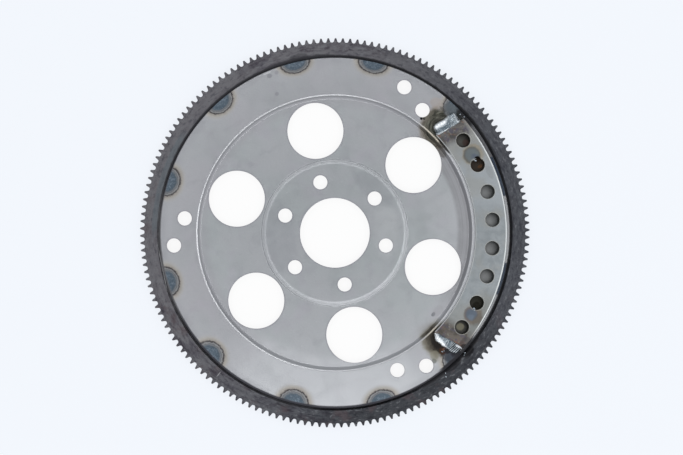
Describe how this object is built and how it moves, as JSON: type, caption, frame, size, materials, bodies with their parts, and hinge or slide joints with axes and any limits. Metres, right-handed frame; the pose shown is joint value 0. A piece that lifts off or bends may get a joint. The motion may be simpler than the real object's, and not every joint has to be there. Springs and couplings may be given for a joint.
{
  "type": "flexplate",
  "caption": "Pressed steel flexplate with a welded starter ring gear and an arc-shaped balance plate, joining a crankshaft to a torque converter.",
  "frame": {"origin": "centre of the pilot bore, on the hub's back face where it meets the crankshaft", "axes": "+Z along the crankshaft's axis towards the torque converter; +X through the middle of the balance plate"},
  "size_m": [0.3526, 0.3526, 0.0177],
  "materials": {
    "disc_steel": "matt rolled steel, lightly mottled, with heat tints over the ring's welds",
    "ring_steel": "dark scaled and oiled steel with brown and blue patches",
    "weight_steel": "satin steel plate, scorched at both ends and round two holes",
    "weld_steel": "bright rippled weld metal"
  },
  "bodies": {
    "root": {"flexplate_disc": "disc_steel", "ring_gear": "ring_steel", "balance_weight": "weight_steel", "ring_weld_01": "weld_steel", "ring_weld_02": "weld_steel", "ring_weld_03": "weld_steel", "ring_weld_04": "weld_steel", "ring_weld_05": "weld_steel", "ring_weld_06": "weld_steel", "ring_weld_07": "weld_steel", "ring_weld_08": "weld_steel", "ring_weld_09": "weld_steel", "ring_weld_10": "weld_steel", "ring_weld_11": "weld_steel", "ring_weld_12": "weld_steel", "weight_end_weld_upper": "weld_steel", "weight_end_weld_lower": "weld_steel", "weight_plug_welds": "weld_steel"}
  },
  "joints": []
}
